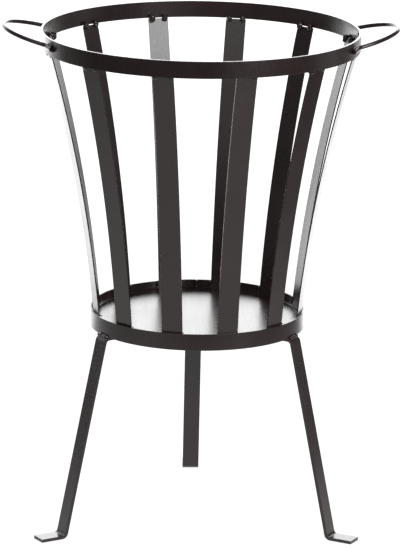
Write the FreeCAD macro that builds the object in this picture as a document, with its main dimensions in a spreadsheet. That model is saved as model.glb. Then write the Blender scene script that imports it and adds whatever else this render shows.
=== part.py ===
import FreeCAD, Part
import math
import os
import Sketcher
from FreeCAD import Placement, Rotation, Vector

# A fire basket of welded flat bar: two hoops, a ring of bowed slats, three legs, two rod handles
# and a loose round plate that carries the fire.
# The origin is on the floor below the middle of the hoops, +Z is up and -Y is the front.

# Driving dimensions: millimetres, degrees and counts
SIZES = {
    # hoops, flat bar on edge
    "overall_height": 600.0,
    "top_hoop_radius": 190.0,
    "bottom_hoop_radius": 130.0,
    "bottom_hoop_height": 242.0,
    "hoop_bar_height": 20.0,
    "hoop_bar_thickness": 3.0,
    "bar_edge_radius": 0.3,
    # butt seam of each hoop and the weld that fills it
    "seam_gap": 1.2,
    "seam_crown": 0.3,
    "seam_inset": 2.5,
    "top_seam_angle": 0.0,
    "bottom_seam_angle": 89.0,
    # slats
    "slat_count": 12,
    "slat_width": 25.0,
    "slat_thickness": 1.5,
    "slat_bow_radius": 1870.0,
    "slat_top_inset": 0.8,
    "slat_top_gap": 0.7,
    "slat_foot_rise": 1.5,
    "slat_clearance": 0.1,
    # loose base plate
    "plate_thickness": 3.0,
    "plate_rise": 6.5,
    "plate_clearance": 0.3,
    # legs
    "leg_width": 20.0,
    "leg_thickness": 4.0,
    "leg_bend_radius": 6.0,
    "leg_shoulder": 2.3,
    "leg_tab_length": 22.0,
    "leg_spread_radius": 185.5,
    "leg_foot_length": 32.5,
    # handles
    "rod_diameter": 5.0,
    "handle_reach": 46.5,
    "handle_drop": 6.7,
    "handle_tilt": 14.5,
    "handle_spread": 140.0,
    "handle_end_length": 14.0,
    "handle_bend_radius": 9.0,
    "handle_clearance": 0.1,
    # weld beads
    "bead_bite": 0.5,
    "slat_bead_lift": 0.3,
    "slat_bead_step": 1.7,
    "foot_bead_drop": 4.5,
    "foot_bead_step": 1.6,
    "leg_bead_radius": 2.3,
    "leg_bead_step": 2.5,
    "handle_bead_radius": 1.8,
    "handle_bead_step": 2.1,
}

# Ripples in one bead of each kind, and where it sits as shares of the bar it holds or its own radius
SLAT_BEAD_RIPPLE_COUNT = 2
FOOT_BEAD_RIPPLE_COUNT = 3
LEG_BEAD_RIPPLE_COUNT = 6
HANDLE_BEAD_RIPPLE_COUNT = 5
SLAT_BEAD_SPACING_SHARE = 0.33
SLAT_BEAD_SEAT_SHARE = 1.0
FOOT_BEAD_OFFSET_SHARE = 0.25
LEG_BEAD_OFFSET_SHARE = 0.3
HANDLE_BEAD_SEAT_SHARE = 0.46
HANDLE_BEAD_OFFSET_SHARE = 0.25

# Directions about +Z, counted from +X
LEG_ANGLES = {"leg_front_right": "-30", "leg_back": "90", "leg_front_left": "-150"}
HANDLE_ANGLES = {"handle_right": "0", "handle_left": "180"}
HANDS = {-1: "right", 1: "left"}
EDGES = {-1: "below", 1: "above"}

UP = Vector(0, 0, 1)
ACROSS = Vector(0, 1, 0)
HALF_TURN = 180

# Levels and radii that several pieces share, as formulas of the sizes
TOP_HOOP_INNER = "(sizes.top_hoop_radius - sizes.hoop_bar_thickness)"
TOP_HOOP_FOOT = "(sizes.overall_height - sizes.hoop_bar_height)"
BOTTOM_HOOP_INNER = "(sizes.bottom_hoop_radius - sizes.hoop_bar_thickness)"
BOTTOM_HOOP_TOP = "(sizes.bottom_hoop_height + sizes.hoop_bar_height)"
PLATE_UNDERSIDE = "(sizes.bottom_hoop_height + sizes.plate_rise)"
SLAT_TOP_RADIUS = f"({TOP_HOOP_INNER} - sizes.slat_top_inset)"
SLAT_TOP_HEIGHT = f"({TOP_HOOP_FOOT} - sizes.slat_top_gap)"
SLAT_EDGE_RADIUS = f"sqrt({BOTTOM_HOOP_INNER} ^ 2 - (sizes.slat_width / 2) ^ 2)"
SLAT_SEAT_RADIUS = f"({SLAT_EDGE_RADIUS} - sizes.slat_clearance)"
SLAT_FOOT_HEIGHT = "(sizes.bottom_hoop_height + sizes.slat_foot_rise)"
SLAT_RUN_OUT = f"({SLAT_TOP_RADIUS} - {SLAT_SEAT_RADIUS})"
SLAT_RUN_UP = f"({SLAT_TOP_HEIGHT} - {BOTTOM_HOOP_TOP})"
SLAT_CHORD = f"sqrt({SLAT_RUN_OUT} ^ 2 + {SLAT_RUN_UP} ^ 2)"
SLAT_BOW_REACH = f"sqrt(sizes.slat_bow_radius ^ 2 - ({SLAT_CHORD} / 2) ^ 2)"
SLAT_BOW_SLOPE = f"{SLAT_BOW_REACH} / {SLAT_CHORD}"
SLAT_CENTRE_OUT = f"({SLAT_SEAT_RADIUS} + {SLAT_RUN_OUT} / 2 + {SLAT_RUN_UP} * {SLAT_BOW_SLOPE})"
SLAT_CENTRE_UP = f"({BOTTOM_HOOP_TOP} + {SLAT_RUN_UP} / 2 - {SLAT_RUN_OUT} * {SLAT_BOW_SLOPE})"
SLAT_TOP_TURN = f"asin(({SLAT_TOP_HEIGHT} - {SLAT_CENTRE_UP}) / sizes.slat_bow_radius)"
SLAT_FOOT_TURN = f"asin(({SLAT_FOOT_HEIGHT} - {SLAT_CENTRE_UP}) / sizes.slat_bow_radius)"
SLAT_INNER_BOW = "(sizes.slat_bow_radius + sizes.slat_thickness)"
PLATE_CONTACT_DROP = f"({PLATE_UNDERSIDE} - {SLAT_CENTRE_UP})"
PLATE_CONTACT_RADIUS = f"({SLAT_CENTRE_OUT} - sqrt({SLAT_INNER_BOW} ^ 2 - {PLATE_CONTACT_DROP} ^ 2))"
LEG_TAB_HEIGHT = "(sizes.bottom_hoop_height - sizes.leg_thickness / 2)"
LEG_TAB_RADIUS = "(sizes.bottom_hoop_radius - sizes.leg_tab_length)"
HANDLE_AXIS_RADIUS = "(sizes.top_hoop_radius + sizes.rod_diameter / 2 + sizes.handle_clearance)"
HANDLE_HEIGHT = "(sizes.overall_height - sizes.handle_drop)"
HANDLE_END_X = f"sqrt({HANDLE_AXIS_RADIUS} ^ 2 - (sizes.handle_spread / 2) ^ 2)"
HANDLE_END_OUT = f"(({HANDLE_END_X} - sizes.top_hoop_radius) / cos(sizes.handle_tilt))"
HANDLE_TIP_OUT = "(sizes.handle_reach / cos(sizes.handle_tilt) - sizes.rod_diameter / 2)"

doc = FreeCAD.newDocument("fire_basket")
sheet = doc.addObject("Spreadsheet::Sheet", "sizes")
for row, (alias, number) in enumerate(SIZES.items(), start=1):
    sheet.set(f"A{row}", alias)
    sheet.set(f"B{row}", str(number))
    sheet.setAlias(f"B{row}", alias)
doc.recompute()


def value(formula):
    """Works out a formula of the sizes as a plain number."""
    found = sheet.evalExpression(formula)
    return float(getattr(found, "Value", found))


def size(alias):
    return value(f"sizes.{alias}")


def new_body(name):
    body = doc.addObject("PartDesign::Body", name)
    body.Label = name
    return body


def origin_feature(body, role):
    return next(feature for feature in body.Origin.OriginFeatures if feature.Role == role)


def new_sketch(body, name, role):
    """Adds a sketch on one of the body's own origin planes."""
    sketch = body.newObject("Sketcher::SketchObject", name)
    sketch.AttachmentSupport = [(origin_feature(body, role), "")]
    sketch.MapMode = "FlatFace"
    return sketch


def start_of(curve):
    return curve, 1


def end_of(curve):
    return curve, 2


def centre_of(curve):
    return curve, 3


def sketch_x_axis():
    return -1


def sketch_origin():
    return start_of(sketch_x_axis())


def join(sketch, kind, *references):
    sketch.addConstraint(Sketcher.Constraint(kind, *references))


def dimension(sketch, name, formula, kind, *references):
    """Adds a dimension to a sketch and ties it to a formula of the sizes."""
    number = value(formula)
    if kind == "Angle":
        number = math.radians(number)
    index = sketch.addConstraint(Sketcher.Constraint(kind, *references, number))
    sketch.renameConstraint(index, name)
    sketch.setExpression(f"Constraints.{name}", formula)


def place_point(sketch, name, out, up, *point):
    """Holds a point of a sketch at a distance out and a distance up."""
    dimension(sketch, f"{name}_out", out, "DistanceX", *sketch_origin(), *point)
    dimension(sketch, f"{name}_up", up, "DistanceY", *sketch_origin(), *point)


def arc_about(centre, radius, first, last):
    """An arc about a centre, counterclockwise from one point to another."""
    from_angle = math.atan2(first.y - centre.y, first.x - centre.x)
    to_angle = math.atan2(last.y - centre.y, last.x - centre.x)
    if to_angle < from_angle:
        to_angle += 2 * math.pi
    return Part.ArcOfCircle(Part.Circle(centre, UP, radius), from_angle, to_angle)


def turn_about_axis(body, angle):
    body.Placement = Placement(Vector(), Rotation(UP, angle))


def bar_section(sketch, width, thickness):
    """Draws the cross-section of a flat bar with eased corners, centred on the sketch's origin."""
    edge = size("bar_edge_radius")
    half = Vector(value(width) / 2, value(thickness) / 2)
    core = half - Vector(edge, edge)
    corners = [Vector(x * core.x, y * core.y) for x, y in ((1, -1), (1, 1), (-1, 1), (-1, -1))]
    outward = [Vector(0, -edge), Vector(edge, 0), Vector(0, edge), Vector(-edge, 0)]
    sides = []
    arcs = []
    for i in range(len(corners)):
        side = Part.LineSegment(corners[i - 1] + outward[i], corners[i] + outward[i])
        sides.append(sketch.addGeometry(side))
        next_outward = outward[(i + 1) % len(outward)]
        arc = arc_about(corners[i], edge, corners[i] + outward[i], corners[i] + next_outward)
        arcs.append(sketch.addGeometry(arc))
    for i, arc in enumerate(arcs):
        join(sketch, "Tangent", *end_of(sides[i]), *start_of(arc))
        join(sketch, "Tangent", *end_of(arc), *start_of(sides[(i + 1) % len(sides)]))
    bottom, right, top, left = sides
    join(sketch, "Horizontal", bottom)
    join(sketch, "Horizontal", top)
    join(sketch, "Vertical", right)
    join(sketch, "Vertical", left)
    for arc in arcs[1:]:
        join(sketch, "Equal", arcs[0], arc)
    dimension(sketch, "edge", "sizes.bar_edge_radius", "Radius", arcs[0])
    dimension(sketch, "right", f"{width} / 2", "DistanceX", *sketch_origin(), *start_of(right))
    dimension(sketch, "left", f"{width} / 2", "DistanceX", *start_of(left), *sketch_origin())
    dimension(sketch, "top", f"{thickness} / 2", "DistanceY", *sketch_origin(), *start_of(top))
    dimension(sketch, "bottom", f"{thickness} / 2", "DistanceY", *start_of(bottom), *sketch_origin())


def hoop(name, radius, foot_height, seam_angle):
    """A flat bar on edge, rolled to a ring whose two ends leave a narrow butt seam."""
    body = new_body(name)
    section = new_sketch(body, f"{name}_section", "XZ_Plane")
    section.setExpression("AttachmentOffset.Base.x", f"{radius} - sizes.hoop_bar_thickness / 2")
    section.setExpression("AttachmentOffset.Base.y", f"{foot_height} + sizes.hoop_bar_height / 2")
    bar_section(section, "sizes.hoop_bar_thickness", "sizes.hoop_bar_height")
    ring = body.newObject("PartDesign::Revolution", f"{name}_ring")
    ring.Profile = section
    ring.ReferenceAxis = (origin_feature(body, "Z_Axis"), [""])
    ring.Midplane = True
    ring.setExpression("Angle", f"360 deg - 2 * asin(sizes.seam_gap / 2 / {radius})")
    turn_about_axis(body, value(seam_angle) + HALF_TURN)
    return body


def seam_weld(name, ring, radius, foot_height, seam_angle):
    """The weld that fills a hoop's butt seam, a little proud of the bar on both sides."""
    rod = doc.addObject("Part::Cylinder", f"{name}_rod")
    rod.setExpression("Radius", "sizes.hoop_bar_thickness / 2 + sizes.seam_crown")
    rod.setExpression("Height", "sizes.hoop_bar_height - 2 * sizes.seam_inset")
    middle = f"({radius} - sizes.hoop_bar_thickness / 2)"
    rod.setExpression("Placement.Base.x", f"{middle} * cos({seam_angle})")
    rod.setExpression("Placement.Base.y", f"{middle} * sin({seam_angle})")
    rod.setExpression("Placement.Base.z", f"{foot_height} + sizes.seam_inset")
    return cut_away(name, [rod], [ring])


def slat(name, angle):
    """A bowed flat bar from inside the bottom hoop to just below the top hoop."""
    body = new_body(name)
    section = new_sketch(body, f"{name}_section", "XY_Plane")
    section.setExpression("AttachmentOffset.Base.x", "-sizes.slat_bow_radius - sizes.slat_thickness / 2")
    bar_section(section, "sizes.slat_thickness", "sizes.slat_width")
    bar = body.newObject("PartDesign::Revolution", f"{name}_bar")
    bar.Profile = section
    bar.ReferenceAxis = (origin_feature(body, "Y_Axis"), [""])
    bar.Midplane = True
    bar.setExpression("Angle", f"{SLAT_TOP_TURN} - {SLAT_FOOT_TURN}")
    bow_centre = Vector(value(SLAT_CENTRE_OUT), 0, value(SLAT_CENTRE_UP))
    middle_turn = (value(SLAT_TOP_TURN) + value(SLAT_FOOT_TURN)) / 2
    leaning = Placement(bow_centre, Rotation(ACROSS, middle_turn))
    body.Placement = Placement(Vector(), Rotation(UP, angle)).multiply(leaning)
    return body


def ease_edges(body, feature, wanted):
    """Rounds the edges of a feature that the bar's rolling leaves soft."""
    edges = [f"Edge{i}" for i, edge in enumerate(feature.Shape.Edges, start=1) if wanted(edge)]
    soft = body.newObject("PartDesign::Fillet", f"{feature.Name}_edges")
    soft.Base = (feature, edges)
    soft.setExpression("Radius", "sizes.bar_edge_radius")


def base_plate(name):
    """A loose disc that has dropped in until it almost touches the slats all round."""
    body = new_body(name)
    outline = new_sketch(body, f"{name}_outline", "XY_Plane")
    radius = f"{PLATE_CONTACT_RADIUS} - sizes.plate_clearance"
    rim = outline.addGeometry(Part.Circle(Vector(), UP, value(radius)))
    join(outline, "Coincident", *centre_of(rim), *sketch_origin())
    dimension(outline, "rim", radius, "Radius", rim)
    disc = body.newObject("PartDesign::Pad", f"{name}_disc")
    disc.Profile = outline
    disc.setExpression("Length", "sizes.plate_thickness")
    doc.recompute()
    ease_edges(body, disc, lambda edge: isinstance(edge.Curve, Part.Circle))
    body.setExpression("Placement.Base.z", PLATE_UNDERSIDE)
    return body


def leg(name, angle):
    """A flat bar with its head bent in to a tab under the hoop and its end bent out to a foot."""
    body = new_body(name)
    path = new_sketch(body, f"{name}_path", "XZ_Plane")
    shoulder_out = "sizes.bottom_hoop_radius + sizes.leg_shoulder"
    foot_up = "sizes.leg_thickness / 2"
    tip_out = "sizes.leg_spread_radius + sizes.leg_foot_length"
    tab = Vector(value(LEG_TAB_RADIUS), value(LEG_TAB_HEIGHT))
    shoulder = Vector(value(shoulder_out), tab.y)
    ankle = Vector(size("leg_spread_radius"), value(foot_up))
    tip = Vector(value(tip_out), ankle.y)
    along = (ankle - shoulder).normalize()
    level = Vector(1, 0)
    bend = size("leg_bend_radius")
    setback = bend * math.tan(along.getAngle(level) / 2)
    head_start, head_end = shoulder - level * setback, shoulder + along * setback
    foot_start, foot_end = ankle - along * setback, ankle + level * setback
    head_centre, foot_centre = head_start - Vector(0, bend), foot_end + Vector(0, bend)
    runs = [
        Part.LineSegment(tab, head_start),
        arc_about(head_centre, bend, head_end, head_start),
        Part.LineSegment(head_end, foot_start),
        arc_about(foot_centre, bend, foot_start, foot_end),
        Part.LineSegment(foot_end, tip),
    ]
    tab_run, head_bend, shank, foot_bend, foot_run = [path.addGeometry(run) for run in runs]
    shoulder_point = path.addGeometry(Part.Point(shoulder), True)
    ankle_point = path.addGeometry(Part.Point(ankle), True)
    join(path, "Tangent", *end_of(tab_run), *end_of(head_bend))
    join(path, "Tangent", *start_of(head_bend), *start_of(shank))
    join(path, "Tangent", *end_of(shank), *start_of(foot_bend))
    join(path, "Tangent", *end_of(foot_bend), *start_of(foot_run))
    join(path, "Horizontal", tab_run)
    join(path, "Horizontal", foot_run)
    join(path, "PointOnObject", *start_of(shoulder_point), shank)
    join(path, "PointOnObject", *start_of(ankle_point), shank)
    dimension(path, "head_bend", "sizes.leg_bend_radius", "Radius", head_bend)
    dimension(path, "foot_bend", "sizes.leg_bend_radius", "Radius", foot_bend)
    place_point(path, "tab", LEG_TAB_RADIUS, LEG_TAB_HEIGHT, *start_of(tab_run))
    place_point(path, "shoulder", shoulder_out, LEG_TAB_HEIGHT, *start_of(shoulder_point))
    place_point(path, "ankle", "sizes.leg_spread_radius", foot_up, *start_of(ankle_point))
    place_point(path, "tip", tip_out, foot_up, *end_of(foot_run))

    section = new_sketch(body, f"{name}_section", "YZ_Plane")
    section.setExpression("AttachmentOffset.Base.y", LEG_TAB_HEIGHT)
    section.setExpression("AttachmentOffset.Base.z", LEG_TAB_RADIUS)
    bar_section(section, "sizes.leg_width", "sizes.leg_thickness")
    bar = body.newObject("PartDesign::AdditivePipe", f"{name}_bar")
    bar.Profile = section
    bar.Spine = (path, [f"Edge{i}" for i in range(1, len(runs) + 1)])
    turn_about_axis(body, angle)
    return body


def handle(name, angle):
    """A bent rod: a wide round loop whose two ends turn out to lie along the hoop."""
    body = new_body(name)
    path = new_sketch(body, f"{name}_path", "XY_Plane")
    end_side = "sizes.handle_spread / 2"
    end_angle = f"90 deg + atan({end_side} / {HANDLE_END_X} / cos(sizes.handle_tilt))"
    tip = Vector(value(HANDLE_TIP_OUT), 0)
    end_middle = Vector(value(HANDLE_END_OUT), value(end_side))
    turn = math.radians(value(end_angle))
    end_along = Vector(math.cos(turn), math.sin(turn))
    end_half = size("handle_end_length") / 2
    bend = size("handle_bend_radius")
    end_start, end_finish = end_middle - end_along * end_half, end_middle + end_along * end_half
    bend_centre = end_start + Vector(end_along.y, -end_along.x) * bend
    # the loop's circle passes the tip, has its centre on the X axis and touches the small bend
    inset = tip.x - bend_centre.x
    loop_radius = (inset ** 2 + bend_centre.y ** 2 - bend ** 2) / (2 * (bend + inset))
    loop_centre = Vector(tip.x - loop_radius, 0)
    meeting = loop_centre + (bend_centre - loop_centre).normalize() * loop_radius
    runs = [
        arc_about(loop_centre, loop_radius, tip, meeting),
        arc_about(bend_centre, bend, end_start, meeting),
        Part.LineSegment(end_start, end_finish),
    ]
    loop, end_bend, end_run = [path.addGeometry(run) for run in runs]
    middle_point = path.addGeometry(Part.Point(end_middle), True)
    join(path, "PointOnObject", *start_of(loop), sketch_x_axis())
    join(path, "PointOnObject", *centre_of(loop), sketch_x_axis())
    join(path, "Tangent", *end_of(loop), *end_of(end_bend))
    join(path, "Tangent", *start_of(end_bend), *start_of(end_run))
    join(path, "Symmetric", *start_of(end_run), *end_of(end_run), *start_of(middle_point))
    dimension(path, "tip_out", HANDLE_TIP_OUT, "DistanceX", *sketch_origin(), *start_of(loop))
    dimension(path, "end_bend", "sizes.handle_bend_radius", "Radius", end_bend)
    dimension(path, "end_length", "sizes.handle_end_length", "Distance", *start_of(end_run), *end_of(end_run))
    dimension(path, "end_angle", end_angle, "Angle", end_run)
    place_point(path, "middle", HANDLE_END_OUT, end_side, *start_of(middle_point))

    section = new_sketch(body, f"{name}_section", "XZ_Plane")
    rod = section.addGeometry(Part.Circle(tip, UP, size("rod_diameter") / 2))
    join(section, "PointOnObject", *centre_of(rod), sketch_x_axis())
    dimension(section, "tip_out", HANDLE_TIP_OUT, "DistanceX", *sketch_origin(), *centre_of(rod))
    dimension(section, "rod", "sizes.rod_diameter", "Diameter", rod)
    half_loop = body.newObject("PartDesign::AdditivePipe", f"{name}_half")
    half_loop.Profile = section
    half_loop.Spine = (path, [f"Edge{i}" for i in range(1, len(runs) + 1)])
    doc.recompute()
    whole_loop = body.newObject("PartDesign::Mirrored", f"{name}_whole")
    whole_loop.Originals = [half_loop]
    whole_loop.MirrorPlane = (origin_feature(body, "XZ_Plane"), [""])
    body.Tip = whole_loop

    seat = Vector(size("top_hoop_radius"), 0, value(HANDLE_HEIGHT))
    raised = Placement(seat, Rotation(ACROSS, -size("handle_tilt")))
    body.Placement = Placement(Vector(), Rotation(UP, angle)).multiply(raised)
    return body


def bead(name, angle, out, side, up, radius, step, ripples, rising):
    """A blank for one weld bead: a row of round ripples, either rising or along the hoop."""
    row = []
    for i in range(ripples):
        shift = f"({i - (ripples - 1) / 2} * {step})"
        across = f"({side})" if rising else f"({side} + {shift})"
        height = f"({up} + {shift})" if rising else f"({up})"
        ripple = doc.addObject("Part::Sphere", f"{name}_ripple_{i + 1}")
        ripple.setExpression("Radius", radius)
        ripple.Placement = Placement(Vector(), Rotation(UP, value(angle)))
        ripple.setExpression("Placement.Base.x", f"({out}) * cos({angle}) - {across} * sin({angle})")
        ripple.setExpression("Placement.Base.y", f"({out}) * sin({angle}) + {across} * cos({angle})")
        ripple.setExpression("Placement.Base.z", height)
        row.append(ripple)
    blank = doc.addObject("Part::MultiFuse", name)
    blank.Shapes = row
    return blank


def group(name, members):
    whole = doc.addObject("Part::Compound", name)
    whole.Label = name
    whole.Links = members
    return whole


def cut_away(name, blanks, neighbours):
    """Welds that fill only the room that the pieces they hold leave free."""
    welds = []
    for i, blank in enumerate(blanks, start=1):
        for neighbour in neighbours:
            trimmed = doc.addObject("Part::Cut", f"{name}_{i}_off_{neighbour.Name}")
            trimmed.Base = blank
            trimmed.Tool = neighbour
            blank = trimmed
        welds.append(blank)
    return group(name, welds)


def turns_from_first(angles):
    return [value(angle) - value(angles[0]) for angle in angles[1:]]


def repeat_about_axis(name, first, turns):
    """The first weld of a kind and its copies turned about the basket's axis."""
    copies = []
    for i, turn in enumerate(turns):
        copy = doc.addObject("App::Link", f"{name}_copy_{i + 1}")
        copy.LinkedObject = first
        copy.Placement = Placement(Vector(), Rotation(UP, turn))
        copies.append(copy)
    return group(name, [first] + copies)


def slat_head(name, angle):
    """The straight room that a slat's head takes up, as far down as its top welds reach."""
    head = doc.addObject("Part::Box", name)
    head.setExpression("Length", "sizes.slat_thickness")
    head.setExpression("Width", "sizes.slat_width")
    head.setExpression("Height", "sizes.slat_width")
    corner = Vector(-size("slat_thickness"), -size("slat_width") / 2, -size("slat_width"))
    top_edge = Vector(value(SLAT_TOP_RADIUS), 0, value(SLAT_TOP_HEIGHT))
    leaning = Placement(top_edge, Rotation(ACROSS, value(SLAT_TOP_TURN)))
    turned = Placement(Vector(), Rotation(UP, value(angle)))
    head.Placement = turned.multiply(leaning).multiply(Placement(corner, Rotation()))
    return head


def slat_top_welds(name, ring, angles):
    """Two beads on the inside of each slat's head, against the top hoop."""
    reach = f"(sizes.slat_top_inset + sizes.slat_thickness * {SLAT_BEAD_SEAT_SHARE})"
    blanks = []
    for hand in HANDS:
        blanks.append(bead(
            f"{name}_blank_{HANDS[hand]}",
            angles[0],
            f"{TOP_HOOP_INNER} - {reach}",
            f"{hand} * sizes.slat_width * {SLAT_BEAD_SPACING_SHARE}",
            f"{TOP_HOOP_FOOT} + sizes.slat_bead_lift",
            f"{reach} + sizes.bead_bite",
            "sizes.slat_bead_step",
            SLAT_BEAD_RIPPLE_COUNT,
            True,
        ))
    first = cut_away(f"{name}_first", blanks, [ring, slat_head(f"{name}_head", angles[0])])
    return repeat_about_axis(name, first, turns_from_first(angles))


def slat_foot_welds(name, ring, slats, angles):
    """A bead along each edge of a slat's foot, against the inside of the bottom hoop."""
    radius = "(sizes.slat_thickness / 2 + sizes.bead_bite)"
    blanks = []
    for hand in HANDS:
        blanks.append(bead(
            f"{name}_blank_{HANDS[hand]}",
            angles[0],
            f"{SLAT_EDGE_RADIUS} - sizes.slat_thickness / 2",
            f"{hand} * (sizes.slat_width / 2 + {radius} * {FOOT_BEAD_OFFSET_SHARE})",
            f"{BOTTOM_HOOP_TOP} - sizes.foot_bead_drop",
            radius,
            "sizes.foot_bead_step",
            FOOT_BEAD_RIPPLE_COUNT,
            True,
        ))
    first = cut_away(f"{name}_first", blanks, [ring, slats[0]])
    return repeat_about_axis(name, first, turns_from_first(angles))


def leg_welds(name, ring, legs, angles):
    """A bead across each leg's shoulder, against the outside of the bottom hoop."""
    blank = bead(
        f"{name}_blank",
        angles[0],
        f"sizes.bottom_hoop_radius + sizes.leg_bead_radius * {LEG_BEAD_OFFSET_SHARE}",
        "0",
        "sizes.bottom_hoop_height",
        "sizes.leg_bead_radius",
        "sizes.leg_bead_step",
        LEG_BEAD_RIPPLE_COUNT,
        False,
    )
    first = cut_away(f"{name}_first", [blank], [ring, legs[0]])
    return repeat_about_axis(name, first, turns_from_first(angles))


def handle_welds(name, ring, handles, angles):
    """Beads above and below each end of a handle's rod, along the outside of the top hoop."""
    end_turn = f"asin(sizes.handle_spread / 2 / {HANDLE_AXIS_RADIUS})"
    end_height = f"({HANDLE_HEIGHT} + {HANDLE_END_OUT} * sin(sizes.handle_tilt))"
    blanks = []
    for end in HANDS:
        for edge in EDGES:
            blanks.append(bead(
                f"{name}_blank_{HANDS[end]}_{EDGES[edge]}",
                f"({angles[0]} * 1 deg + {end} * {end_turn})",
                f"sizes.top_hoop_radius + sizes.handle_bead_radius * {HANDLE_BEAD_OFFSET_SHARE}",
                "0",
                f"{end_height} + {edge} * sizes.rod_diameter * {HANDLE_BEAD_SEAT_SHARE}",
                "sizes.handle_bead_radius",
                "sizes.handle_bead_step",
                HANDLE_BEAD_RIPPLE_COUNT,
                False,
            ))
    first = cut_away(f"{name}_first", blanks, [ring, handles[0]])
    return repeat_about_axis(name, first, turns_from_first(angles))


def write_parts(pieces):
    """Checks every object and every piece's solids, then writes one file for each piece."""
    doc.recompute()
    for item in doc.Objects:
        if "Invalid" in item.State or "Error" in item.State:
            raise RuntimeError(f"{item.Name} failed: {item.State}")
    for piece, solids in pieces:
        shape = piece.Shape
        if shape.isNull() or not shape.isValid():
            raise RuntimeError(f"{piece.Label} has no valid shape")
        if len(shape.Solids) != solids:
            raise RuntimeError(f"{piece.Label} has {len(shape.Solids)} solids, not {solids}")
    os.makedirs("parts", exist_ok=True)
    for piece, solids in pieces:
        piece.Shape.exportStep(f"parts/{piece.Label}.step")
        print(f"{piece.Label}: {solids} solid(s), {piece.Shape.Volume:.1f} mm3")


slat_count = int(size("slat_count"))
slat_angles = [f"({i + 0.5} * 360 / sizes.slat_count - 90)" for i in range(slat_count)]

top_ring = hoop("top_hoop", "sizes.top_hoop_radius", TOP_HOOP_FOOT, "sizes.top_seam_angle")
bottom_ring = hoop(
    "bottom_hoop", "sizes.bottom_hoop_radius", "sizes.bottom_hoop_height", "sizes.bottom_seam_angle"
)
slats = [slat(f"slat_{i + 1:02d}", value(angle)) for i, angle in enumerate(slat_angles)]
plate = base_plate("base_plate")
legs = [leg(name, value(angle)) for name, angle in LEG_ANGLES.items()]
handles = [handle(name, value(angle)) for name, angle in HANDLE_ANGLES.items()]
doc.recompute()

single_pieces = [top_ring, bottom_ring, plate] + slats + legs + handles
single_pieces.append(seam_weld(
    "top_hoop_seam_weld", top_ring, "sizes.top_hoop_radius", TOP_HOOP_FOOT, "sizes.top_seam_angle"
))
single_pieces.append(seam_weld(
    "bottom_hoop_seam_weld",
    bottom_ring,
    "sizes.bottom_hoop_radius",
    "sizes.bottom_hoop_height",
    "sizes.bottom_seam_angle",
))
leg_angles = list(LEG_ANGLES.values())
handle_angles = list(HANDLE_ANGLES.values())
weld_groups = [
    (slat_top_welds("slat_top_welds", top_ring, slat_angles), len(HANDS) * slat_count),
    (slat_foot_welds("slat_foot_welds", bottom_ring, slats, slat_angles), len(HANDS) * slat_count),
    (leg_welds("leg_welds", bottom_ring, legs, leg_angles), len(legs)),
    (handle_welds("handle_welds", top_ring, handles, handle_angles), len(EDGES) * len(HANDS) * len(handles)),
]
write_parts([(piece, 1) for piece in single_pieces] + weld_groups)
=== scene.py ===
import math
import random

import bmesh
import bpy
from mathutils import Matrix, Vector, noise


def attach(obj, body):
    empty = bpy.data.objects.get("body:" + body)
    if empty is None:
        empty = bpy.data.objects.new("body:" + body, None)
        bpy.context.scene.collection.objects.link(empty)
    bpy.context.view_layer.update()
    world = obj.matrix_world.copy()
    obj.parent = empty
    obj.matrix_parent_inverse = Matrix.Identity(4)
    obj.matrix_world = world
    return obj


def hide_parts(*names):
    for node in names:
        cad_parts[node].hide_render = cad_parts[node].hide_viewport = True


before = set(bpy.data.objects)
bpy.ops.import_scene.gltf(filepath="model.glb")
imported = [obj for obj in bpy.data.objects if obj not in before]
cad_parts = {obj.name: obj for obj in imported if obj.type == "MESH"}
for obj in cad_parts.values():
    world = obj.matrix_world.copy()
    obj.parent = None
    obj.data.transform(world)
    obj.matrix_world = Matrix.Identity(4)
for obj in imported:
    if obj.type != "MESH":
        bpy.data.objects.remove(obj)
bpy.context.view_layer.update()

scene = bpy.context.scene

# Millimetres and degrees, in the frame's metres and in radians
MM = 0.001
DEG = math.radians(1.0)

# Camera: the place that the photograph was taken from, a little to the left of straight in front
CAMERA_DISTANCE = 4637 * MM
CAMERA_HEIGHT = 1498 * MM
CAMERA_TURN = 1.70 * DEG
CAMERA_PAN = 0.036 * DEG
CAMERA_PITCH = -14.472 * DEG
CAMERA_ROLL = -0.842 * DEG
IMAGE_HEIGHT_PX = 549
FOCAL_LENGTH_PX = 3984
SENSOR_HEIGHT = 24.0

# Stove paint: the film's two tones, the size of its thicker patches and the levels of their noise at
# which each tone is reached
PAINT_THIN = "#1e1515"
PAINT_THICK = "#261b1b"
PAINT_IOR = 1.5
FILM_PATCH = 55 * MM
FILM_DETAIL = 4.0
FILM_ROUGHNESS = 0.6
FILM_THIN_LEVEL = 0.32
FILM_THICK_LEVEL = 0.68
PEEL_DETAIL = 2.0
GRAIN_DETAIL = 3.0

# The sheen follows the film plus a share of the grain, between these two levels of their sum
GRAIN_SHARE = 0.8
SHEEN_LOW = 0.5
SHEEN_HIGH = 1.3

# Weld beads: how much fuller than the plain ripples each kind is along X, Y and Z. A seam's bead spreads
# along its hoop: the top seam is on the +X side and the bottom seam on the +Y side.
BEAD_GROWTH = {
    "slat_top_welds": (1.4, 1.4, 1.4),
    "slat_foot_welds": (1.8, 1.8, 1.8),
    "leg_welds": (1.1, 1.1, 1.1),
    "handle_welds": (1.1, 1.1, 1.1),
    "top_hoop_seam_weld": (1.3, 2.0, 1.15),
    "bottom_hoop_seam_weld": (2.0, 1.3, 1.15),
}
BEAD_SIZE_SPREAD = 0.15
BEAD_SEED = 7
BEAD_MERGE = 0.01 * MM
BEAD_VOXEL = 0.4 * MM
BEAD_SMOOTHING = 0.5
BEAD_LUMP = 0.5 * MM
BEAD_LUMP_SPACING = 3.0 * MM
BEAD_SPATTER = 0.15 * MM
BEAD_SPATTER_SPACING = 1.1 * MM

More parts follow.
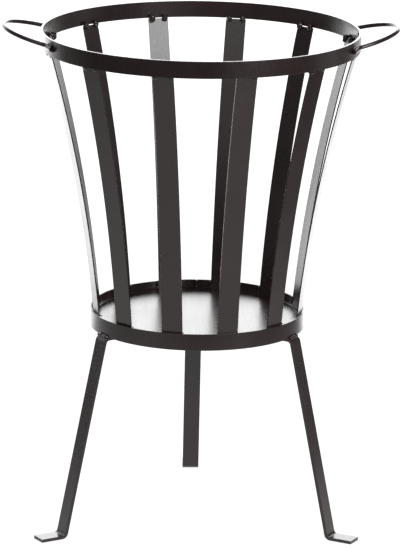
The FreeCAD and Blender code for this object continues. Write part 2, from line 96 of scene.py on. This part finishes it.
# Paper floor, in metres: its grey and its glow add up to white where no shadow falls. In reflections it
# is a sheet that fades out at its front and sides.
FLOOR_SIZE = 40.0
FLOOR_GREY = "#858585"
FLOOR_GLOW = 0.84
PAPER_SHINE = 1.05
PAPER_HALF_WIDTH = 0.95
PAPER_SHIFT = 0.1
PAPER_FRONT = -0.9
PAPER_FADE = 0.3

# Room: how dim it is away from the wall, how far towards the back a direction points where the wall starts
# and is full, and the same for the fill from the sides
ROOM_WHITE = "#ffffff"
ROOM_DIM = 0.06
WALL_EDGE = 0.7
WALL_FULL = 0.9
FRONT_FILL = 0.45
SIDE_FILL = 1.6
SIDE_EDGE = 0.4
SIDE_FULL = 0.9


def linear(hex_colour):
    """The linear colour that shaders take, from an sRGB hex colour."""
    channels = [int(hex_colour[i:i + 2], 16) / 255 for i in (1, 3, 5)]
    straight = [c / 12.92 if c <= 0.04045 else ((c + 0.055) / 1.055) ** 2.4 for c in channels]
    return (*straight, 1.0)


def node(tree, kind, settings=None, links=None, values=None):
    """Adds a node with its settings, the links that feed it and the values of its other sockets."""
    made = tree.nodes.new(kind)
    for name, setting in (settings or {}).items():
        setattr(made, name, setting)
    for socket, source in (links or {}).items():
        tree.links.new(source, made.inputs[socket])
    for socket, number in (values or {}).items():
        made.inputs[socket].default_value = number
    return made


def new_material(name):
    made = bpy.data.materials.new(name)
    made.use_nodes = True
    made.node_tree.nodes.clear()
    return made


def place_camera():
    """A camera that is panned, pitched and rolled, then carried round the basket's axis."""
    forward = Vector((
        math.sin(CAMERA_PAN) * math.cos(CAMERA_PITCH),
        math.cos(CAMERA_PAN) * math.cos(CAMERA_PITCH),
        math.sin(CAMERA_PITCH),
    ))
    level = Vector((math.cos(CAMERA_PAN), -math.sin(CAMERA_PAN), 0.0))
    upright = level.cross(forward)
    right = level * math.cos(CAMERA_ROLL) - upright * math.sin(CAMERA_ROLL)
    up = level * math.sin(CAMERA_ROLL) + upright * math.cos(CAMERA_ROLL)
    facing = Matrix((right, up, -forward)).transposed().to_4x4()
    standing = Matrix.Translation((0.0, -CAMERA_DISTANCE, CAMERA_HEIGHT))
    data = bpy.data.cameras.new("photo_camera")
    data.sensor_fit = "VERTICAL"
    data.sensor_height = SENSOR_HEIGHT
    data.lens = SENSOR_HEIGHT * FOCAL_LENGTH_PX / IMAGE_HEIGHT_PX
    camera = bpy.data.objects.new("photo_camera", data)
    camera.matrix_world = Matrix.Rotation(-CAMERA_TURN, 4, "Z") @ standing @ facing
    scene.collection.objects.link(camera)
    scene.camera = camera


def stove_paint(name, peel_size, peel_height, grain_size, grain_stretch, roughness, unevenness):
    """Heat-resistant black stove paint, sprayed on mild steel: a warm, brownish black with a soft satin
    sheen, a little uneven where the film is thicker, and a fine orange peel. The real peel is about 1 mm
    across, and it is drawn one and a half to three times as coarse so that it shows."""
    made = new_material(name)
    tree = made.node_tree
    place = node(tree, "ShaderNodeTexCoord").outputs["Object"]
    film = node(
        tree, "ShaderNodeTexNoise", links={"Vector": place},
        values={"Scale": 1 / FILM_PATCH, "Detail": FILM_DETAIL, "Roughness": FILM_ROUGHNESS},
    ).outputs["Fac"]
    peel = node(
        tree, "ShaderNodeTexNoise", links={"Vector": place},
        values={"Scale": 1 / peel_size, "Detail": PEEL_DETAIL},
    ).outputs["Fac"]
    rolled = node(tree, "ShaderNodeMapping", links={"Vector": place}, values={"Scale": grain_stretch})
    grain = node(
        tree, "ShaderNodeTexNoise", links={"Vector": rolled.outputs["Vector"]},
        values={"Scale": 1 / grain_size, "Detail": GRAIN_DETAIL},
    ).outputs["Fac"]
    colour = node(tree, "ShaderNodeValToRGB", links={"Fac": film})
    thin, thick = colour.color_ramp.elements
    thin.position = FILM_THIN_LEVEL
    thin.color = linear(PAINT_THIN)
    thick.position = FILM_THICK_LEVEL
    thick.color = linear(PAINT_THICK)
    uneven = node(
        tree, "ShaderNodeMath", {"operation": "MULTIPLY_ADD"}, {0: grain, 2: film}, {1: GRAIN_SHARE},
    ).outputs[0]
    sheen = node(
        tree, "ShaderNodeMapRange", links={"Value": uneven},
        values={
            "From Min": SHEEN_LOW, "From Max": SHEEN_HIGH,
            "To Min": roughness - unevenness, "To Max": roughness + unevenness,
        },
    ).outputs["Result"]
    relief = node(
        tree, "ShaderNodeBump", links={"Height": peel}, values={"Strength": 1.0, "Distance": peel_height},
    ).outputs["Normal"]
    shader = node(
        tree, "ShaderNodeBsdfPrincipled",
        links={"Base Color": colour.outputs["Color"], "Roughness": sheen, "Normal": relief},
        values={"IOR": PAINT_IOR},
    )
    node(tree, "ShaderNodeOutputMaterial", links={"Surface": shader.outputs["BSDF"]})
    return made


def bar_paint():
    """On hot-rolled bar the film hides the mill skin, and gives a plain satin band of light."""
    return stove_paint(
        "satin_black_stove_paint_on_bar", peel_size=2.5 * MM, peel_height=0.009 * MM,
        grain_size=3.0 * MM, grain_stretch=(1.0, 1.0, 0.4), roughness=0.28, unevenness=0.03,
    )


def sheet_paint():
    """On cold-rolled sheet the film is flatter, with faint streaks along the rolling direction. The real
    streaks are about 1 mm wide, and they are drawn five times as wide so that they show."""
    return stove_paint(
        "satin_black_stove_paint_on_sheet", peel_size=3.0 * MM, peel_height=0.001 * MM,
        grain_size=5.0 * MM, grain_stretch=(1.0, 0.03, 1.0), roughness=0.28, unevenness=0.025,
    )


def weld_paint():
    """Over the welds the film pools and flows, so the lumps carry small hard glints."""
    return stove_paint(
        "pooled_black_stove_paint_on_weld", peel_size=1.5 * MM, peel_height=0.06 * MM,
        grain_size=3.0 * MM, grain_stretch=(1.0, 1.0, 1.0), roughness=0.22, unevenness=0.03,
    )


def paint_bars_and_sheet():
    bars = bar_paint()
    sheet = sheet_paint()
    for name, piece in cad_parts.items():
        piece.data.materials.clear()
        piece.data.materials.append(sheet if name == "base_plate" else bars)


def separate_beads(shape):
    """The groups of joined vertices in a bmesh, one group for each bead, in the mesh's own order."""
    beads = []
    grouped = set()
    for first in shape.verts:
        if first in grouped:
            continue
        grouped.add(first)
        bead = [first]
        for vert in bead:
            joined = [edge.other_vert(vert) for edge in vert.link_edges]
            fresh = [other for other in joined if other not in grouped]
            grouped.update(fresh)
            bead.extend(fresh)
        beads.append(bead)
    return beads


def fuller_beads(plain_mesh, growth, chance):
    """A copy of the plain beads, each grown inwards from its outer side by a slightly different amount."""
    shape = bmesh.new()
    shape.from_mesh(plain_mesh)
    bmesh.ops.remove_doubles(shape, verts=shape.verts, dist=BEAD_MERGE)
    for bead in separate_beads(shape):
        outermost = max(bead, key=lambda vert: vert.co.xy.length).co
        heights = [vert.co.z for vert in bead]
        seat = Vector((outermost.x, outermost.y, (min(heights) + max(heights)) / 2))
        fullness = 1 + chance.uniform(-BEAD_SIZE_SPREAD, BEAD_SIZE_SPREAD)
        bmesh.ops.scale(
            shape, verts=bead, vec=Vector(growth) * fullness, space=Matrix.Translation(-seat),
        )
    mesh = bpy.data.meshes.new("fuller_beads")
    shape.to_mesh(mesh)
    shape.free()
    return mesh


def skin_over(blank_mesh, name):
    """One closed skin over the overlapping ripples of each bead."""
    blank = bpy.data.objects.new("bead_blank", blank_mesh)
    scene.collection.objects.link(blank)
    skin = blank.modifiers.new("skin", "REMESH")
    skin.mode = "VOXEL"
    skin.voxel_size = BEAD_VOXEL
    evaluated = blank.evaluated_get(bpy.context.evaluated_depsgraph_get())
    mesh = bpy.data.meshes.new_from_object(evaluated)
    mesh.name = name
    bpy.data.objects.remove(blank)
    bpy.data.meshes.remove(blank_mesh)
    return mesh


def freeze_lumps(mesh):
    """Pushes a bead's skin in and out, in lumps where the metal froze and in finer spatter."""
    shape = bmesh.new()
    shape.from_mesh(mesh)
    bmesh.ops.smooth_vert(
        shape, verts=shape.verts, factor=BEAD_SMOOTHING, use_axis_x=True, use_axis_y=True, use_axis_z=True,
    )
    shape.normal_update()
    for vert in shape.verts:
        lump = BEAD_LUMP * noise.noise(vert.co / BEAD_LUMP_SPACING)
        spatter = BEAD_SPATTER * noise.noise(vert.co / BEAD_SPATTER_SPACING)
        vert.co += vert.normal * (lump + spatter)
    for face in shape.faces:
        face.smooth = True
    shape.to_mesh(mesh)
    shape.free()


def lay_weld_beads():
    """Lumpy frozen beads that stand for the plain rows of ripples."""
    paint = weld_paint()
    chance = random.Random(BEAD_SEED)
    for weld, growth in BEAD_GROWTH.items():
        name = weld + "_frozen"
        mesh = skin_over(fuller_beads(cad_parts[weld].data, growth, chance), name)
        freeze_lumps(mesh)
        mesh.materials.clear()
        mesh.materials.append(paint)
        beads = bpy.data.objects.new(name, mesh)
        scene.collection.objects.link(beads)
        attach(beads, "basket")
        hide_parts(weld)


def paper_in_reflections(tree):
    """How bright the paper looks in the paint: lit about the basket, fading out at its front and sides."""
    place = node(tree, "ShaderNodeTexCoord").outputs["Object"]
    axes = node(tree, "ShaderNodeSeparateXYZ", links={0: place}).outputs
    shifted = node(tree, "ShaderNodeMath", {"operation": "ADD"}, {0: axes["X"]}, {1: PAPER_SHIFT}).outputs[0]
    aside = node(tree, "ShaderNodeMath", {"operation": "ABSOLUTE"}, {0: shifted}).outputs[0]
    across = node(
        tree, "ShaderNodeMapRange", {"interpolation_type": "SMOOTHSTEP"}, {"Value": aside},
        {
            "From Min": PAPER_HALF_WIDTH - PAPER_FADE, "From Max": PAPER_HALF_WIDTH + PAPER_FADE,
            "To Min": 1.0, "To Max": 0.0,
        },
    ).outputs["Result"]
    along = node(
        tree, "ShaderNodeMapRange", {"interpolation_type": "SMOOTHSTEP"}, {"Value": axes["Y"]},
        {
            "From Min": PAPER_FRONT - PAPER_FADE, "From Max": PAPER_FRONT + PAPER_FADE,
            "To Min": 0.0, "To Max": PAPER_SHINE,
        },
    ).outputs["Result"]
    paper = node(tree, "ShaderNodeMath", {"operation": "MULTIPLY"}, {0: across, 1: along}).outputs[0]
    return node(tree, "ShaderNodeMath", {"operation": "MAXIMUM"}, {0: paper}, {1: ROOM_DIM}).outputs[0]


def white_paper():
    """Matt white background paper: white to the camera, with the basket's shadow on it."""
    made = new_material("matt_white_paper")
    tree = made.node_tree
    rays = node(tree, "ShaderNodeLightPath").outputs
    seen = node(
        tree, "ShaderNodeMath", {"operation": "MAXIMUM"},
        {0: rays["Is Camera Ray"], 1: rays["Is Transmission Ray"]},
    ).outputs[0]
    strength = node(tree, "ShaderNodeMath", {"operation": "MULTIPLY"}, {0: seen}, {1: FLOOR_GLOW}).outputs[0]
    glow = node(tree, "ShaderNodeEmission", links={"Strength": strength}).outputs[0]
    matt = node(tree, "ShaderNodeBsdfDiffuse", values={"Color": linear(FLOOR_GREY)}).outputs[0]
    direct = node(tree, "ShaderNodeAddShader", links={0: matt, 1: glow}).outputs[0]
    mirrored = node(tree, "ShaderNodeEmission", links={"Strength": paper_in_reflections(tree)}).outputs[0]
    either = node(
        tree, "ShaderNodeMixShader", links={0: rays["Is Glossy Ray"], 1: direct, 2: mirrored},
    ).outputs[0]
    node(tree, "ShaderNodeOutputMaterial", links={"Surface": either})
    return made


def lay_floor():
    mesh = bpy.data.meshes.new("paper_floor")
    shape = bmesh.new()
    bmesh.ops.create_grid(shape, x_segments=1, y_segments=1, size=FLOOR_SIZE / 2)
    shape.to_mesh(mesh)
    shape.free()
    mesh.materials.append(white_paper())
    floor = bpy.data.objects.new("paper_floor", mesh)
    scene.collection.objects.link(floor)


def light_world():
    """A white wall behind the basket and a dim room in front, with light from both sides that fills the
    colour of the paint. The camera sees white all round."""
    world = bpy.data.worlds.new("white_studio")
    scene.world = world
    world.use_nodes = True
    tree = world.node_tree
    tree.nodes.clear()
    direction = node(tree, "ShaderNodeTexCoord").outputs["Generated"]
    axes = node(tree, "ShaderNodeSeparateXYZ", links={0: direction}).outputs
    wall = node(
        tree, "ShaderNodeMapRange", {"interpolation_type": "SMOOTHSTEP"}, {"Value": axes["Y"]},
        {"From Min": WALL_EDGE, "From Max": WALL_FULL, "To Min": ROOM_DIM, "To Max": 1.0},
    ).outputs["Result"]
    aside = node(tree, "ShaderNodeMath", {"operation": "ABSOLUTE"}, {0: axes["X"]}).outputs[0]
    fill = node(
        tree, "ShaderNodeMapRange", {"interpolation_type": "SMOOTHSTEP"}, {"Value": aside},
        {"From Min": SIDE_EDGE, "From Max": SIDE_FULL, "To Min": FRONT_FILL, "To Max": SIDE_FILL},
    ).outputs["Result"]
    rays = node(tree, "ShaderNodeLightPath").outputs
    filled = node(
        tree, "ShaderNodeMath", {"operation": "MULTIPLY"}, {0: fill, 1: rays["Is Diffuse Ray"]},
    ).outputs[0]
    lit = node(tree, "ShaderNodeMath", {"operation": "MAXIMUM"}, {0: wall, 1: filled}).outputs[0]
    shown = node(
        tree, "ShaderNodeMath", {"operation": "MAXIMUM"}, {0: lit, 1: rays["Is Camera Ray"]},
    ).outputs[0]
    sky = node(tree, "ShaderNodeBackground", links={"Strength": shown}, values={"Color": linear(ROOM_WHITE)})
    node(tree, "ShaderNodeOutputWorld", links={"Surface": sky.outputs[0]})


def soft_box(name, place, target, width, height, radiance):
    """A rectangular soft light that faces a point, with the brightness of its face given."""
    data = bpy.data.lights.new(name, "AREA")
    data.shape = "RECTANGLE"
    data.size = width
    data.size_y = height
    data.energy = radiance * math.pi * width * height
    lamp = bpy.data.objects.new(name, data)
    towards = Vector(target) - Vector(place)
    lamp.matrix_world = Matrix.Translation(place) @ towards.to_track_quat("-Z", "Y").to_matrix().to_4x4()
    lamp.visible_camera = False
    scene.collection.objects.link(lamp)


def light_backdrop():
    """The lit wall and the paper that sweeps up to it, in metres. The plate, the feet and the slats at the
    sides mirror them."""
    soft_box(
        "back_wall", place=(-1.3, 3.5, 1.25), target=(-1.3, 0.0, 1.25),
        width=7.4, height=2.5, radiance=3.6,
    )
    soft_box(
        "lit_sweep", place=(-0.05, 2.0, 0.005), target=(-0.05, 2.0, 1.0),
        width=1.8, height=2.6, radiance=2.4,
    )
    soft_box(
        "left_sweep", place=(-1.5, 2.2, 0.005), target=(-1.5, 2.2, 1.0),
        width=1.1, height=2.2, radiance=4.4,
    )
    soft_box(
        "right_sweep", place=(1.4, 2.1, 0.005), target=(1.4, 2.1, 1.0),
        width=1.1, height=2.2, radiance=1.2,
    )


def light_basket():
    """The lights on the basket, in metres. The strong one at the front right makes one back slat pale."""
    soft_box(
        "right_box", place=(1.26, -1.95, 1.25), target=(0.0, 0.0, 0.5),
        width=1.1, height=1.1, radiance=12.5,
    )
    soft_box(
        "left_box", place=(-1.12, -2.03, 1.27), target=(0.0, 0.0, 0.5),
        width=1.1, height=1.1, radiance=1.4,
    )
    soft_box(
        "top_box", place=(0.0, -0.3, 2.6), target=(0.0, 0.0, 0.4),
        width=1.8, height=1.8, radiance=1.0,
    )
    soft_box(
        "right_wall", place=(1.8, 0.25, 0.5), target=(0.0, 0.25, 0.5),
        width=0.8, height=1.0, radiance=0.5,
    )
    soft_box(
        "left_wall", place=(-1.8, 0.25, 0.5), target=(0.0, 0.25, 0.5),
        width=0.8, height=1.0, radiance=0.16,
    )


place_camera()
paint_bars_and_sheet()
lay_weld_beads()
lay_floor()
light_world()
light_backdrop()
light_basket()

scene.view_settings.view_transform = "Standard"
